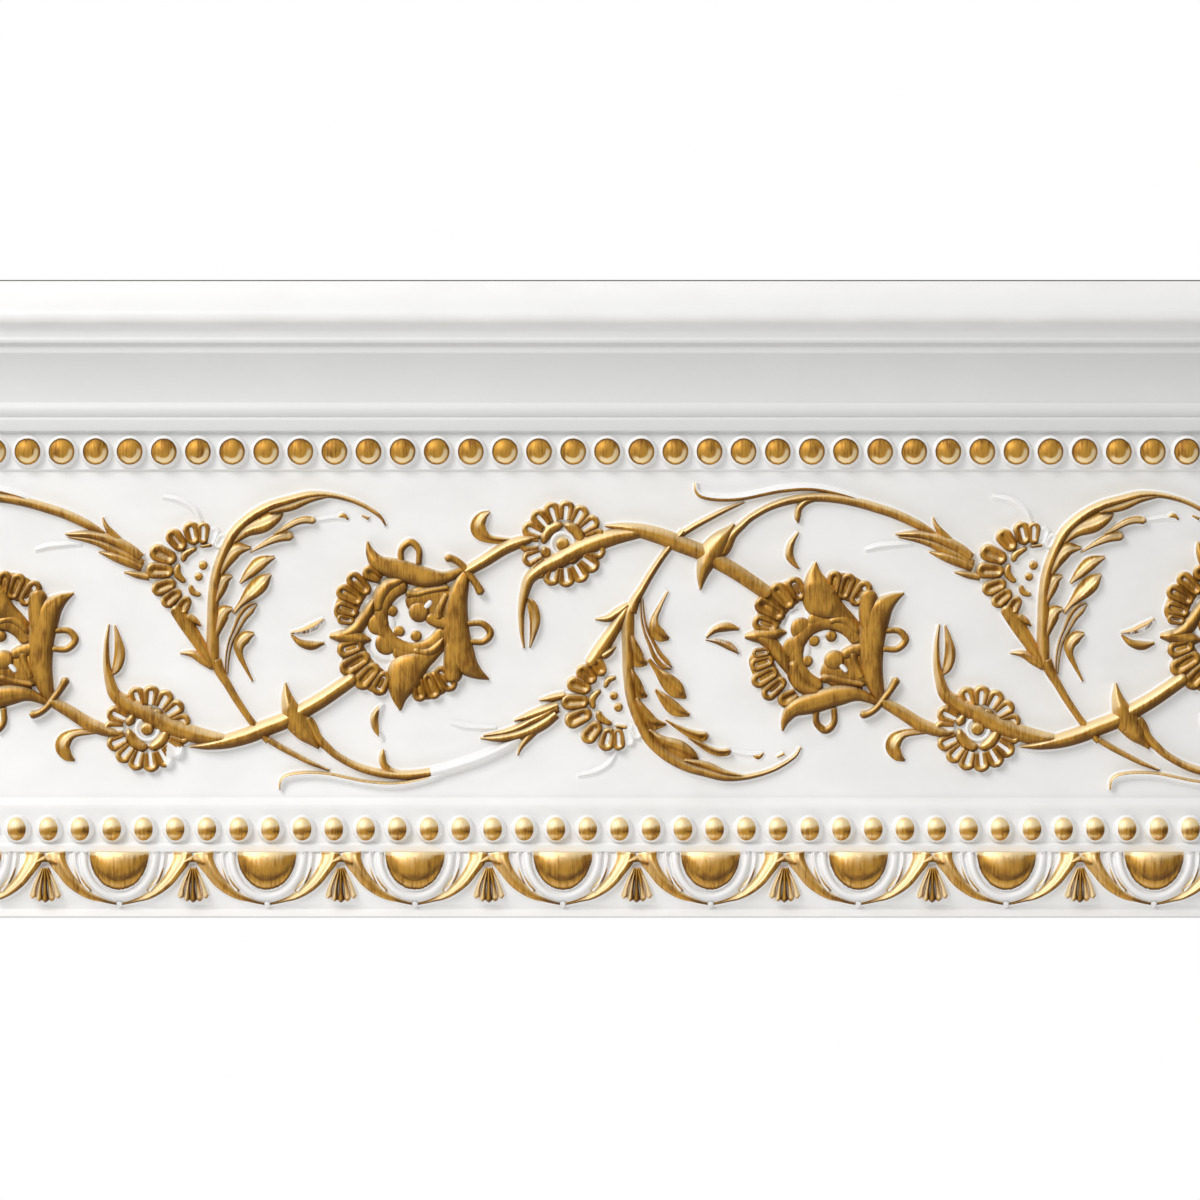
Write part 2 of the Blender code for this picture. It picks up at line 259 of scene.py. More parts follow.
def shift(x, y=0.0, z=0.0):
    return Matrix.Translation(Vector((x, y, z)) * MM)


def set_out(first, name, moves):
    """Replaces first by one piece that holds a copy of it for every move."""
    copies = []
    for move in moves:
        copy = bpy.data.objects.new(name, first.data.copy())
        bpy.context.collection.objects.link(copy)
        copy.data.transform(move)
        if move.determinant() < 0:
            copy.data.flip_normals()
        copies.append(copy)
    bpy.data.objects.remove(first)
    return join(copies, name)


# %% [markdown]
# The light falls differently on the two rows, so each gets its own painted shade, painted highlight and
# painted reflection. Each pattern below is worked out from where a point lies on its bead: above 0 is
# browner, below is paler.

# %% Painted light on the beads
def ringed_painted_light(p, half):
    """Painted shade on the top and rim, with a painted reflection between as a pale crescent, low and to the
    right, as on the upper beads.
    """
    out = math.hypot(p.x / half[0], p.y / half[1])
    crescent = math.exp(-((out - 0.56) / 0.11) ** 2) * ramp(0.5 * p.x / half[0] - p.y / half[1], -0.1, 0.3)
    return 0.02 - 0.95 * crescent + 0.9 * ramp(out, 0.68, 0.82)


def barred_painted_light(p, half):
    """A painted highlight above, with a brown bar to the right of the middle as a painted reflection, as on
    the lower beads.
    """
    along = p.x / half[0]
    up = p.y / half[1]
    bar = math.exp(-((up + 0.16) / 0.13) ** 2) * ramp(along, -0.35, 0.25)
    return 0.5 * bar - 0.35 * ramp(up, -0.05, 0.35) - 0.6 * ramp(-up, 0.3, 0.5)


# %% [markdown]
# The two rows differ in size, in spacing and in the light painted on them, so one function makes either. The
# ball is squashed to the bead's size in edit mode, cut at its foot, and marked while it still lies at the
# origin.

# %% Model and copy the beads
BARE_GILT = 0.46  # the gilt number at which the gold paint begins to show


def bead_row(name, first, pitch, middle, half, gold_half, rise, painted_light_side, painted_light):
    """A row of beads. half and gold_half are half sizes along and up, of the bead and of its gold."""
    bpy.ops.object.select_all(action="DESELECT")
    bpy.ops.mesh.primitive_uv_sphere_add(segments=28, ring_count=18, radius=MM)
    bead = bpy.context.object
    pick_vertices(bead, lambda p: True)
    bpy.ops.transform.resize(value=(*half, rise))
    bpy.ops.mesh.bisect(plane_co=(0, 0, -0.6 * MM), plane_no=(0, 0, -1), clear_outer=True, use_fill=True)
    bpy.ops.object.mode_set(mode="OBJECT")
    mark_gilt(bead, lambda p: BARE_GILT + 6 * (1 - math.hypot(p.x / gold_half[0], p.y / gold_half[1])))
    # Painted light on the bead: painted shade, highlight and reflection, by its facing and its place on the
    # bead.
    mark_painted_shading(bead, painted_light_side, lambda p: painted_light(p, half))
    places = row_places(first, pitch, half[0])
    row = set_out(bead, name, [shift(place, middle, ground_at(middle)) for place in places])
    bpy.ops.object.shade_smooth()
    print(name, len(places), "beads")
    return row


upper_beads = bead_row(
    "upper_beads", first=9.9, pitch=11.323, middle=155.0, half=(5.4, 5.5), gold_half=(4.3, 4.4), rise=4.4,
    painted_light_side=(0.1, -0.25, 0), painted_light=ringed_painted_light)
lower_beads = bead_row(
    "lower_beads", first=6.32, pitch=10.533, middle=29.7, half=(4.6, 4.6), gold_half=(3.1, 3.9), rise=4.2,
    painted_light_side=(-0.4, 0.85, 0.2), painted_light=barred_painted_light)

# %% [markdown]
# ## The carver's stroke
# Stems, leaves and petals are all strokes: a path with a width, raised into a rounded, folded or
# hollow section. A bevelled curve would do for wire, but it thins a stroke's height with its width,
# and a leaf keeps its height where it is narrow. So the strokes are swept in mesh code: a smooth
# path is walked, and a ring of points is set across it at each step. The ring ends in a steep flank
# and a small white foot, where the casting flows into its ground. A section is a function of v, the
# place across the stroke from -1 at its right edge to 1 at its left, and gives a share of its height.

# %% Sections across a stroke
ACROSS = (-1, -0.86, -0.62, -0.36, -0.14, 0, 0.14, 0.36, 0.62, 0.86, 1)
FOOT = 0.75  # width of the white foot
SUNK = 0.6  # how far a stroke is let into its ground


def rounded(v):
    """A half round, for stems and rims."""
    return 0.45 + 0.55 * math.sqrt(max(0.0, 1 - v * v))


def folded(v):
    """A soft ridge down the middle, for leaves."""
    return 0.42 + 0.58 * (1 - abs(v) ** 1.9)


def hollowed(v):
    """Two rims with a hollow between, for petals."""
    return 0.44 + 0.56 * math.exp(-((abs(v) - 0.6) / 0.32) ** 2)


def broad(v):
    """Nearly level across, with one faint groove."""
    return 0.45 + 0.55 * (1 - v ** 4) - 0.05 * math.exp(-((v - 0.3) / 0.16) ** 2)


def cupped(v):
    """High along the left edge and falling to the right, as a leaf that curls up."""
    return 0.4 + 0.6 * math.exp(-((v - 0.45) / 0.55) ** 2)


def smooth_path(points, spacing=0.7):
    """Rows of numbers on a smooth curve through the given rows, about one spacing apart."""
    ends = [[2 * a - b for a, b in zip(points[0], points[1])]]
    ends += [list(p) for p in points]
    ends += [[2 * a - b for a, b in zip(points[-1], points[-2])]]
    path = []
    for i in range(1, len(ends) - 2):
        span = math.dist(ends[i][:2], ends[i + 1][:2])
        steps = max(2, round(span / spacing))
        for step in range(steps):
            t = step / steps
            path.append([
                b + 0.5 * t * (c - a + t * (2 * a - 5 * b + 4 * c - d + t * (3 * (b - c) + d - a)))
                for a, b, c, d in zip(*ends[i - 1:i + 3])
            ])
    path.append(list(points[-1]))
    return path


# %% [markdown]
# A carver thins the stroke towards a point and rounds it off at a blunt end, and the height falls
# with it. So each stroke says of its two ends whether they are pointed, v, or round, o.

# %% Sweep a stroke
def round_off(path, from_start, from_end, ends):
    """Half widths along the path, rounded off at the ends that are marked o rather than v."""
    halves = []
    for point, before, after in zip(path, from_start, from_end):
        half = max(point[2], 0.2) / 2
        for distance, end in ((before, ends[0]), (after, ends[1])):
            if end == "o" and distance < half:
                half *= math.sqrt(max(0.02, 1 - (1 - distance / half) ** 2))
        halves.append(half)
    return halves


def sweep(bm, points, section=rounded, rise=2.4, ends="vv", gilt=1.0, hollow_gilt=None, sides=(1.0, 1.0),
          spacing=0.7):
    """Adds one stroke to bm. points are (x, y, width); ends says v for pointed and o for round."""
    path = smooth_path(points, spacing)
    steps = [0.0] + [math.dist(a[:2], b[:2]) for a, b in zip(path, path[1:])]
    from_start = [sum(steps[:i + 1]) for i in range(len(path))]
    from_end = [from_start[-1] - d for d in from_start]
    halves = round_off(path, from_start, from_end, ends)
    widest = max(halves)
    layer = bm.verts.layers.float["gilt"]
    rings = []
    for i, (x, y, _) in enumerate(path):
        before = Vector(path[max(i - 1, 0)][:2])
        after = Vector(path[min(i + 1, len(path) - 1)][:2])
        along = (after - before).normalized()
        side = Vector((-along.y, along.x))
        half = halves[i]
        height = rise * (0.28 + 0.72 * min(1, half / (0.7 * widest)))
        # A hollow closes over half a width from a round end, so that its rim runs round the tip
        round_ends = [d for d, end in ((from_start[i], ends[0]), (from_end[i], ends[1])) if end == "o"]
        openness = ramp(min(round_ends) / widest, 0.45, 0.9) if round_ends else 1.0
        ring = [(-half - FOOT, -SUNK, 0.0), (-half - FOOT, 0.05, 0.0), (-half - 0.5 * FOOT, 0.4, 0.0),
                (-half - 0.12, 0.38, 0.2 * gilt)]
        for v in ACROSS:
            lift = rounded(v) + openness * (section(v) - rounded(v))
            paint = gilt * (sides[0] if v < -0.1 else sides[1])
            if hollow_gilt is not None and abs(v) < 0.2:
                paint += (hollow_gilt - paint) * openness
            ring.append((v * half, lift * height, paint))
        ring += [(-offset, lift, paint) for offset, lift, paint in ring[3::-1]]
        made = []
        for offset, lift, paint in ring:
            spot = Vector((x, y)) + side * offset
            vertex = bm.verts.new((spot.x * MM, spot.y * MM, lift * MM))
            vertex[layer] = paint
            made.append(vertex)
        rings.append(made)
    for first, second in zip(rings, rings[1:]):
        for i in range(len(first)):
            j = (i + 1) % len(first)
            bm.faces.new((first[i], first[j], second[j], second[i]))
    bm.faces.new(rings[0][::-1])
    bm.faces.new(rings[-1])


def carving(name, draw):
    """A new piece holding every stroke that draw(bm) makes, lying on the bench."""
    bm = bmesh.new()
    bm.verts.layers.float.new("gilt")
    draw(bm)
    bmesh.ops.recalc_face_normals(bm, faces=bm.faces)
    mesh = bpy.data.meshes.new(name)
    bm.to_mesh(mesh)
    bm.free()
    piece = bpy.data.objects.new(name, mesh)
    bpy.context.collection.objects.link(piece)
    alone(piece)
    bpy.ops.object.shade_smooth_by_angle(angle=math.radians(50))
    return piece


# %% [markdown]
# ## The vine
# The vine repeats every 138 mm, turned over about the middle of the frieze each time. One repeat is
# drawn from its small rosette: x along from it, and y from the middle of the frieze. Every stroke is
# a few points, each with its width, read off the ornament as a carver pricks out a drawing.

# %% Petals round a centre
def around(centre, degrees, radius):
    turn = math.radians(degrees)
    return centre[0] + radius * math.cos(turn), centre[1] + radius * math.sin(turn)


def petal(bm, centre, degrees, inner, outer, width, rise=2.8, gilt=1.0, hollow_gilt=0.1, ends="vo"):
    """One petal with a raised rim and an unpainted hollow, round at its outer end."""
    reach = outer - inner
    stops = ((inner, 0.74), (inner + 0.4 * reach, 0.92), (outer - width * 0.4, 1.0), (outer, 1.0))
    path = [(*around(centre, degrees, radius), width * share) for radius, share in stops]
    sweep(bm, path, hollowed, rise, ends, gilt, hollow_gilt, spacing=0.5)


def dot(bm, x, y, radius, rise=1.8, gilt=1.0):
    """A round boss: a stroke as long as it is wide, rounded off at both ends."""
    wide = 2 * radius
    across = [(x - radius, y, wide), (x, y, wide), (x + radius, y, wide)]
    sweep(bm, across, rounded, rise, "oo", gilt, spacing=0.3)


# %% [markdown]
# The rosette is a ring of fifteen open petals behind the stem. Crescents lie round its gilt seed,
# and the seed stands in a white dish that the brush has passed over.

# %% Draw the small rosette
ROSETTE = (0.0, 30.7)
# The crescents round its seed: where each starts and ends, in degrees, and its width
CRESCENTS = ((86, 182, 4.3), (2, 88, 4.1), (186, 228, 3.4), (285, 335, 2.8))


def draw_rosette(bm):
    for degrees in range(12, 372, 24):
        petal(bm, ROSETTE, degrees, 8.0, 14.6, 5.7)
    for start, end, width in CRESCENTS:
        steps = [start + (end - start) * part / 4 for part in range(5)]
        widths = (0.35, 0.9, 1.0, 0.85, 0.3)
        crescent = [(*around(ROSETTE, turn, 6.3), width * share) for turn, share in zip(steps, widths)]
        sweep(bm, crescent, folded, 2.6, "oo", spacing=0.5)
    # A white ring stands in a white dish, round the gilt seed
    dot(bm, *ROSETTE, 8.8, 0.9, gilt=0.0)
    ring = [(*around(ROSETTE, turn, 3.7), 1.5) for turn in range(0, 375, 15)]
    sweep(bm, ring, rounded, 2.0, gilt=0.0, spacing=0.5)
    dot(bm, *ROSETTE, 2.3, 2.6)
    # The comma that curls off the stem before it
    sweep(bm, [(124.5, -31.8, 0.6), (118, -31.8, 2.0), (113.5, -32.4, 2.8), (110.6, -34.4, 4.8),
               (109.8, -37, 4.8), (111.4, -39.8, 3.4), (113.8, -41.4, 0.6)], cupped, 2.8)


# %% [markdown]
# The palmette is a large flower seen from the side. Two broad sepals hold it, fans of looped petals
# stand round it, and inside lie a scalloped heart and a bud. What lies on top is drawn with more
# rise, so that it stands over its neighbours as the carving does.


# %% Draw the palmette
PALMETTE = (87.1, -2.3)
# Each petal: its angle, inner and outer radius, width, and how much gold its hollow keeps
PALMETTE_PETALS = (
    (162.4, 16.6, 25.2, 6.0, 0.3), (148, 16.4, 27.0, 6.2, 0.6), (132, 16.4, 26.2, 6.2, 0.8),
    (117.5, 16.6, 24.6, 5.8, 0.2),
    (81, 16.5, 24.4, 5.0, 0.7), (69, 16.2, 24.8, 5.0, 0.7), (54, 16.2, 25.2, 5.4, 0.3),
    (188.6, 19, 24.4, 3.6, 0.1), (197.5, 18.4, 26.0, 4.9, 0.15), (209.5, 18.6, 27.7, 5.3, 0.35),
    (222, 18.4, 27.4, 5.2, 0.35),
)
HEART = (1.3, -4.0)


def draw_palmette(bm):
    def part(points, section=folded, rise=3.0, ends="vv", **more):
        moved = [(PALMETTE[0] + x, PALMETTE[1] + y, width) for x, y, width in points]
        sweep(bm, moved, section, rise, ends, **more)

    # Each fan of petals stands on a low gilt shelf
    for start, end, radius, width in ((112, 167, 20.2, 8.4), (51, 85, 20, 8.4), (186, 226, 22, 8)):
        shelf = [(*around((0, 0), start + (end - start) * share / 4, radius), width) for share in range(5)]
        part(shelf, rounded, 1.7, "oo")
    for degrees, inner, outer, width, hollow in PALMETTE_PETALS:
        petal(bm, PALMETTE, degrees, inner - 0.8, outer, width, 2.8, hollow_gilt=hollow, ends="oo")
    # The looped stamens
    part([(19.4, -1.9, 1.9), (24.2, -1.9, 2.1), (26.9, 1.2, 2.4), (24.6, 4.1, 2.1),
          (19.8, 4.1, 1.9)], rounded, 2.2)
    part([(-2.7, -22, 1.9), (-2.7, -26.4, 2.1), (0.3, -29, 2.4), (3.1, -26.4, 2.1),
          (3.1, -21.6, 1.9)], rounded, 2.2)
    # The two pointed petals, the left one with two arms
    part([(-3, 27, 0.5), (-3.3, 22.5, 5.6), (-2.4, 18, 10.4), (-0.6, 14, 12.4), (3.8, 10.6, 7.4), (8.2, 8, 4),
          (12.4, 5.4, 0.6)], broad, 3.6)
    part([(-26.6, 2.2, 1.4), (-22.4, 2.4, 4.6), (-18.6, 2.8, 5.4), (-15.6, 3.4, 3.8),
          (-12.6, 3.6, 0.8)], folded, 3.2)
    part([(-23, 2.2, 2.6), (-18.4, 0.2, 4.6), (-15, -3.8, 4.6), (-12.6, -8, 3.2),
          (-11.4, -11.4, 0.5)], folded, 3.2)
    # The scalloped heart: a band, the scallops that back it, and a crescent over each end
    band = [(*around(HEART, turn, 10.8), 5.0) for turn in range(20, 264, 12)]
    part(band, rounded, 2.4, "oo")
    for x, y, radius in ((-2.3, 7.2, 3.6), (-7.6, 4.7, 4.0), (-10.4, -1.7, 3.8)):
        dot(bm, PALMETTE[0] + x, PALMETTE[1] + y, radius + 1.8, 1.4, gilt=0.0)
        dot(bm, PALMETTE[0] + x, PALMETTE[1] + y, radius, 2.3)
    part([(0.9, 6.4, 2.2), (3.4, 7.7, 3.8), (6.6, 7.6, 4.4), (9.8, 5.2, 3.8), (12, 1.6, 1)],
         folded, 3.0, "ov")
    part([(-10.2, -5.4, 2.8), (-10, -9.8, 5.2), (-7.4, -14, 5.2), (-3, -16.2, 3.6),
          (0.8, -17, 0.6)], folded, 3.2, "ov")
    # The bud, with its hole left bare
    part([(-1.4, -10.0, 7.6), (4, -9.4, 11), (10, -8.8, 12), (14.6, -8.4, 11)], broad, 2.5, "ov")
    part([(-1.4, -11.8, 3.4), (2.4, -11.6, 3.6), (7, -12.8, 3.4), (12.8, -13.8, 3)], folded, 3.0, "ov")
    part([(9.4, -2.8, 3.8), (10, -6.4, 4.2), (12.4, -11.6, 3.6)], folded, 3.2, "ov")
    part([(5.4, -4.4, 3.6), (9, -2.8, 4.4), (13, -1.6, 4.4)], rounded, 3.0, "ov")
    dot(bm, PALMETTE[0] + 3.3, PALMETTE[1] - 5.9, 3.6, 3.2)
    part([(4.8, -6.8, 1.7), (6.2, -8.2, 2.0), (7.6, -9.8, 1.5)], rounded, 3.5, "oo", gilt=0.1)
    for x, y, radius in ((-3.5, 0.8, 1.9), (2.2, 2.3, 1.9), (-5.8, -6.0, 1.9)):
        dot(bm, PALMETTE[0] + x, PALMETTE[1] + y, radius, 1.7)
    # The lobe of the lower sepal, and the two sepals
    part([(-9.4, -16.6, 3.4), (-12.4, -18.4, 5.4), (-15.4, -20.0, 5.6)], hollowed, 2.8, "vo", hollow_gilt=0.7)
    part([(19.4, -20.6, 1.6), (11.7, -17.2, 4.1), (5, -17.3, 6.7), (-3.3, -19.7, 7.0), (-10, -21.7, 5.6),
          (-13, -25.5, 3), (-14, -29.2, 0.5)], broad, 3.9)
    part([(19.4, -20.6, 1.6), (17.2, -15, 5.2), (15.6, -8, 7.4), (15.5, 0, 8.6), (16.4, 6, 9.2),
          (18.6, 11, 8.0), (22.2, 14.4, 4.4), (26.4, 16.6, 0.5)], broad, 3.9)
    part([(13.8, 3, 3.4), (14.2, 10, 5.8), (14.7, 18.0, 6.2)], broad, 3.7, "vo")
    # The bar with knobs that crosses the stalk
    part([(11.6, -23.8, 3.0), (14.4, -23.4, 2.4), (17.4, -21.4, 2.2), (20, -18, 2.4), (22.2, -15, 2.4),
          (24.2, -11.4, 3.2)], rounded, 3.4, "oo")
    # The split leaf beyond its far side
    part([(-39.4, 1.8, 0.5), (-36.4, 4.4, 2.2), (-32.4, 5.4, 3.0), (-28.4, 4.6, 0.8)], folded, 2.2)
    part([(-39.6, 1.2, 0.5), (-35.6, 0.6, 1.9), (-31.6, -1.0, 2.6), (-28.4, -3.4, 0.8)], folded, 2.0,
         sides=(1.0, 0.45))


# %% [markdown]
# The main stem wanders up and down the frieze and carries everything else. It is drawn in lengths
# that overlap under a node or a flower, so that each can swell and taper by itself.

# %% Draw the stems
def draw_stems(bm):
    # The main stem, from its split leaf past the rosette to the sheath
    sweep(bm, [(-12.8, -4, 0.5), (-13.6, 2, 1.5), (-13.6, 9, 2.3), (-12.4, 15.3, 3.3), (-10.6, 19.6, 4.1),
               (-5.9, 23, 5.2), (-0.9, 25.4, 5.6), (5.8, 29.0, 5.9), (12.4, 31.6, 5.9), (18, 33.2, 5.2),
               (24, 34.2, 4.0), (29, 34.2, 1.8), (32, 33.6, 0.5)], folded, 3.8)
    sweep(bm, [(14.1, 36.7, 0.6), (20, 36.2, 3), (27, 34.8, 4.8), (33.8, 32.8, 5.4), (39.1, 30.6, 5.5),
               (45.8, 28, 5.4), (52.4, 24.4, 5.2), (59.1, 20.4, 5.0), (69.5, 13.2, 4.6)], folded, 3.9, "vo")
    sweep(bm, [(-12.2, 13.2, 0.5), (-10.2, 10.4, 3.0), (-9.2, 5.6, 3.6), (-9.9, 0.4, 2.0),
               (-10.9, -3.8, 0.4)], cupped, 2.6)
    # The spear at the node, and its small thorn
    sweep(bm, [(45.8, 15.4, 0.5), (46.4, 20.3, 3.7), (47.8, 24.7, 6.2), (49.8, 28.2, 8), (52.4, 32, 6.2),
               (55.1, 35, 3.2), (57, 37.4, 0.6)], folded, 4.6)
    sweep(bm, [(49, 31.4, 2.4), (51.6, 33.6, 2.0), (53.9, 35.4, 0.5)], folded, 3.4)
    # From the palmette on to the next rosette
    sweep(bm, [(105.8, -21.4, 3.4), (112, -25, 4.0), (118, -28.8, 4.2), (123, -31, 4.0),
               (127.6, -32.4, 2.6), (130.6, -33, 0.8)], folded, 3.6)


# %% [markdown]
# Tendrils are the thin strokes that curl off the stems into the empty corners of the frieze. They
# are drawn apart from the stems, so that either piece can be changed alone.

# %% Draw the tendrils
def draw_tendrils(bm):
    # The upper tendril: gilt on its shadow side only, and left white on its lit side as a painted highlight,
    # until the two run together
    sweep(bm, [(44.3, 51.0, 0.9), (44.5, 48.6, 1.5), (46.2, 46.8, 1.9), (50.6, 45.9, 2.0), (55.8, 45.8, 2.0),
               (60.8, 46.3, 2.0), (66, 47.4, 2.0), (72, 48.6, 2.0), (79.1, 49.3, 2.0), (84.6, 49.1, 1.9),
               (90, 48.1, 1.8), (95.4, 46.6, 1.5), (99.6, 45, 0.8)], rounded, 2.2, sides=(1.0, 0.25))
    sweep(bm, [(52.4, 27.0, 3.6), (54.4, 29.8, 3.8), (56.4, 33.7, 3.2), (59.8, 37, 2.6), (62.4, 39.3, 2.4),
               (67.4, 42.3, 2.4), (72.4, 44.3, 2.6), (79.1, 45.8, 2.8), (85.8, 46.2, 3.0), (92.4, 45.6, 3.1),
               (99, 44.2, 3.1), (104.4, 42.6, 3.1), (109.4, 41, 3.1), (114.4, 38.9, 3.0), (119.4, 36.4, 2.6),
               (124.6, 33.4, 1.2)], folded, 2.9, "ov")
    sweep(bm, [(60.4, 44.6, 0.6), (54.6, 42.2, 1.5), (49.4, 39.6, 1.8), (44.2, 36.8, 2.0),
               (40, 34.2, 2)], folded, 2.3)
    # The stem of the hanging branch
    sweep(bm, [(40.3, 35, 2.2), (35.4, 29.4, 2.2), (32.4, 25.3, 2.2), (29.1, 20.3, 2.4), (26.6, 16, 2.6),
               (24.2, 12, 3.2), (22.6, 8, 4.0)], folded, 3.0)
    # The hook and the sickle
    sweep(bm, [(87, 46, 1), (81.4, 45, 2.2), (78.6, 42.6, 2.3), (78.1, 39.6, 2), (78.4, 37.6, 0.4)],
          folded, 2.3)
    sweep(bm, [(78.4, 34.6, 0.5), (76, 30.8, 2.1), (75.4, 27, 2.6), (76.8, 24.3, 1.8),
               (78.6, 22.4, 0.5)], folded, 2.4)


# %% [markdown]
# A branch hangs from the stem and forks. Its shorter arm carries half a flower, whose last petals
# the brush hardly touched, and its longer arm a feathered leaf that curls under.

# %% Draw the half flower and its bracts
HALF_FLOWER = (18.1, -21.3)
# Each petal: its angle, outer radius, width, and how much gold it and its hollow keep
HALF_FLOWER_PETALS = (
    (118.8, 16, 4.8, 1.0, 0.8), (139.8, 17.2, 5.0, 1.0, 0.7), (159, 17.8, 5.3, 1.0, 0.75),
    (182, 18.7, 5.5, 1.0, 0.8), (204, 18.9, 5.8, 1.0, 0.55), (231.5, 17.8, 5.6, 1.0, 0.5),
    (256, 17.4, 5.6, 1.0, 0.3), (272, 16.7, 4.4, 0.75, 0.1), (287, 15.8, 4.0, 0.1, 0.0),
    (301, 14.8, 3.6, 0.05, 0.0),
)
# The broken rim round its heart
HEART_OF_FLOWER = (
    ((11.8, -24.6, 1.6), (12.6, -27.2, 2.5), (16.4, -29.4, 1.4)),
    ((17.4, -29.8, 1.0), (21.6, -30.4, 1.4)),
    ((10.4, -24.2, 1.4), (9.9, -20.8, 2.5), (12.6, -17.8, 1.6)),
    ((14.1, -17.2, 1.4), (15.1, -14.7, 2.1), (17.8, -13.6, 1.4)),
)


def draw_half_flower(bm):
    for degrees, outer, width, gilt, hollow in HALF_FLOWER_PETALS:
        petal(bm, HALF_FLOWER, degrees, 9.2, outer, width, 2.8 if gilt > 0.5 else 1.6, gilt, hollow, "oo")
    # The limb that joins it to the branch, with a tooth on its right, and the thorn beside it
    sweep(bm, [(8.4, -10.2, 3.8), (12.2, -5.2, 4.8), (14.6, -1.6, 4.6), (17.2, 2.4, 4.0), (20, 7, 3.4),
               (22.2, 11, 1.6)], folded, 3.1, "ov")
    sweep(bm, [(17.8, -3.4, 0.5), (15.6, -5.2, 2.4), (12.8, -7.0, 2.8)], folded, 2.9, "vo")
    sweep(bm, [(10.8, 5.6, 0.5), (15, 5.9, 2.4), (18.4, 7.8, 3.2), (21.6, 10.4, 2)], folded, 2.8)
    for rim in HEART_OF_FLOWER:
        sweep(bm, rim, rounded, 2.0, "oo", spacing=0.5)
    dot(bm, 18.5, -23.6, 1.5, 1.6)
    dot(bm, 17.0, -19.8, 1.4, 1.6)
    # The bracts behind it
    sweep(bm, [(-27.4, -33.9, 0.5), (-21, -33.9, 2.6), (-15.6, -33, 3.4), (-10.4, -31.2, 3.8),
               (-5.9, -28.7, 3.9), (-2.2, -25.8, 3.4)], folded, 3.1)
    sweep(bm, [(-26.4, -33.0, 0.5), (-19.6, -32.0, 2.0), (-14.6, -30.4, 2.6), (-10.2, -28.2, 3.2),
               (-6.0, -26.2, 3.9), (-1.8, -23.6, 3.6)], folded, 2.9)
    sweep(bm, [(-16.2, -28.1, 0.5), (-11.2, -26.6, 3.0), (-6.5, -25.0, 3.8), (-1.6, -22.9, 2.8)], folded, 3.1)
    sweep(bm, [(-7.8, -21.3, 0.5), (-3.4, -20.5, 2.5), (0.8, -19.6, 2.4)], folded, 2.4)
    sweep(bm, [(-14.9, -39.6, 0.5), (-13.7, -36.6, 1.6), (-10.6, -32.6, 3.0), (-7.6, -30.2, 2)], folded, 2.3,
          gilt=0.62)
    for strand in (
        ((-37.4, -28.6, 0.5), (-32.9, -29.9, 1.2), (-26.2, -30.5, 0.8), (-22, -30.6, 0.4)),
        ((5, -46.4, 0.5), (11, -45, 1.1), (15.6, -42.2, 1.1), (18, -38, 0.5)),
    ):
        sweep(bm, strand, rounded, 1.1, gilt=0.14)


# %% [markdown]
# The feathered leaf hangs from the branch and curls under along the foot of the frieze. One long
# stroke is its spine. The leaflets on both sides are cupped, so that each catches the light along
# one edge.

# %% Draw the feathered leaf
# Each leaflet from its root to its tip, with its width
INNER_LEAFLETS = (
    ((22.2, 1, 1.8), (23.3, -4.3, 4.9), (25.3, -8.1, 4.7), (28.2, -9.2, 1.0)),
    ((22.2, -10.6, 1.8), (23.6, -15.1, 4.4), (25.6, -18.8, 4.0), (28.2, -20, 0.8)),
    ((24, -20.8, 2.4), (26.6, -26.2, 5.4), (29.6, -28.9, 5.0), (34.4, -29.4, 0.8)),
    ((28.4, -31.4, 2), (33, -35.8, 5.6), (38.4, -37.8, 6.6), (43, -40, 4.2), (45, -41, 1.0)),
    ((40.4, -41.6, 2), (47.4, -43.7, 4.2), (54, -46, 3.2), (62.4, -47, 0.6)),
)
OUTER_LEAFLETS = (
    ((28.6, -7.6, 1.2), (31.2, -11, 2.0), (34.8, -14.8, 5.2), (38, -18, 5.4), (41, -20.6, 0.8)),
    ((30.8, -17.6, 0.8), (34.2, -21.3, 3.6), (37.6, -24.4, 4.4), (42.2, -26.3, 1.0)),
    ((34.2, -27.8, 0.4), (37.8, -30, 1.4), (42.1, -32.2, 2.6), (45.6, -33.3, 3.4), (48.6, -32.9, 2.6)),
    ((41.8, -33.8, 0.4), (45.4, -35.7, 1.6), (49.4, -37.9, 2.2), (52.8, -38.7, 2.4), (56, -38.2, 2.3)),
)


